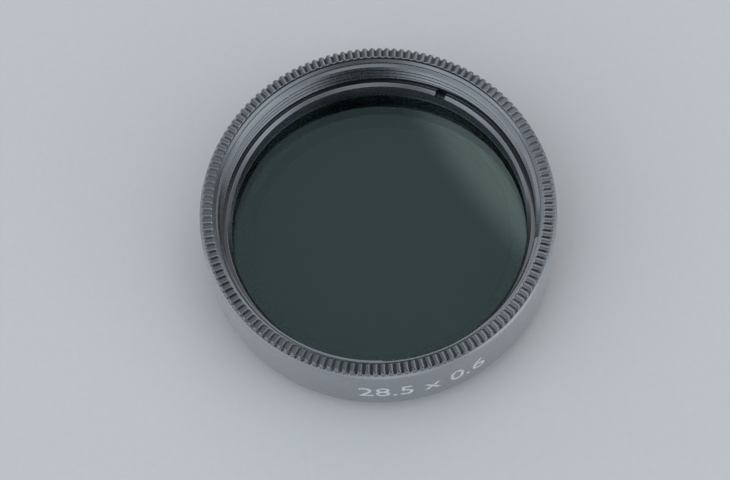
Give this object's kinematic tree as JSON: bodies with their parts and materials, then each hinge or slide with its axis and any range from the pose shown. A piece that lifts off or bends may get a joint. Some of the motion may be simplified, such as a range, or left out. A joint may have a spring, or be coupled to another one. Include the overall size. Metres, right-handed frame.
{
  "type": "neutral density filter",
  "caption": "Round screw-in neutral density filter for an eyepiece: a dark glass disc held by a slotted ring in a metal cell with a knurled rim and a screw thread on each side.",
  "frame": {"origin": "centre of the end face of the male thread, on which the filter rests", "axes": "+Z along the light path, from the male thread to the knurled rim; the spanner slots lie 59.8 degrees from +X towards +Y, and the camera of the picture looks along +Y from above"},
  "size_m": [0.0314, 0.0314, 0.0097],
  "materials": {
    "cell": "turned and anodised, satin",
    "nd_glass": "polished, neutral grey",
    "ring": "turned and anodised, satin",
    "print": "pad-printed ink, matt"
  },
  "bodies": {
    "root": {"filter_cell": "cell", "nd_glass": "nd_glass", "retaining_ring": "ring"}
  },
  "joints": []
}
